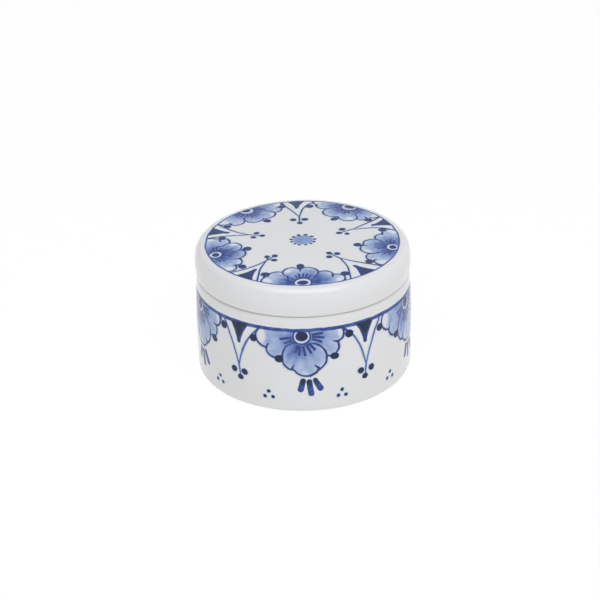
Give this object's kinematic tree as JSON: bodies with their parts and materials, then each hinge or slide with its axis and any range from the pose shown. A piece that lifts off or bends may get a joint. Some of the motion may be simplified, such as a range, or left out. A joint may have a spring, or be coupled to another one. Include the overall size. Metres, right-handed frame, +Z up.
{
  "type": "porcelain trinket box",
  "caption": "Small round porcelain trinket box with a loose domed cap lid, white glaze and hand-painted blue flowers.",
  "frame": {"origin": "centre of the foot ring, on the plane that the box stands on", "axes": "+Z up along the box's axis, -Y towards the middle of the front flower, +X to the right"},
  "size_m": [0.0748, 0.0748, 0.0468],
  "materials": {
    "painted_porcelain": "gloss"
  },
  "bodies": {
    "base": {"box_base": "painted_porcelain"},
    "lid": {"lid": "painted_porcelain"}
  },
  "joints": [
    {"name": "lid_lift", "type": "slide", "parent": "base", "child": "lid", "axis": [0, 0, 1], "range_m": [0, 0.06]}
  ]
}
